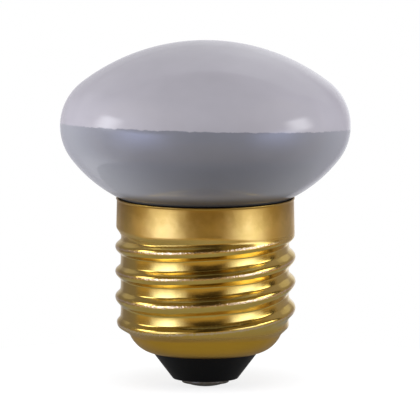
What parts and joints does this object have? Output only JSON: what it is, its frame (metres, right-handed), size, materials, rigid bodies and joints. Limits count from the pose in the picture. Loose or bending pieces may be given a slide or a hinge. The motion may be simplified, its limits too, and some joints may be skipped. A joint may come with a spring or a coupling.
{
  "type": "reflector bulb",
  "caption": "Short mushroom-shaped reflector lamp: frosted dome, mirrored underside and a brass screw cap with a black insulator and centre contact.",
  "frame": {"origin": "tip of the centre contact, on the lamp's axis", "axes": "+Z along the lamp's axis from the contact to the crown of the dome; -Y faces the picture's camera; +X to its right"},
  "size_m": [0.0422, 0.0422, 0.0505],
  "materials": {
    "bulb_glass": "frosted dome, mirrored underside",
    "cement": "matte",
    "brass": "rolled, polished",
    "black_glass": "moulded glass",
    "contact_tin": "tinned",
    "solder": "dull solder"
  },
  "bodies": {
    "root": {"glass_bulb": "bulb_glass", "basing_cement": "cement", "screw_shell": "brass", "insulator": "black_glass", "contact_plate": "contact_tin", "contact_solder": "solder", "side_solder": "solder"}
  },
  "joints": []
}
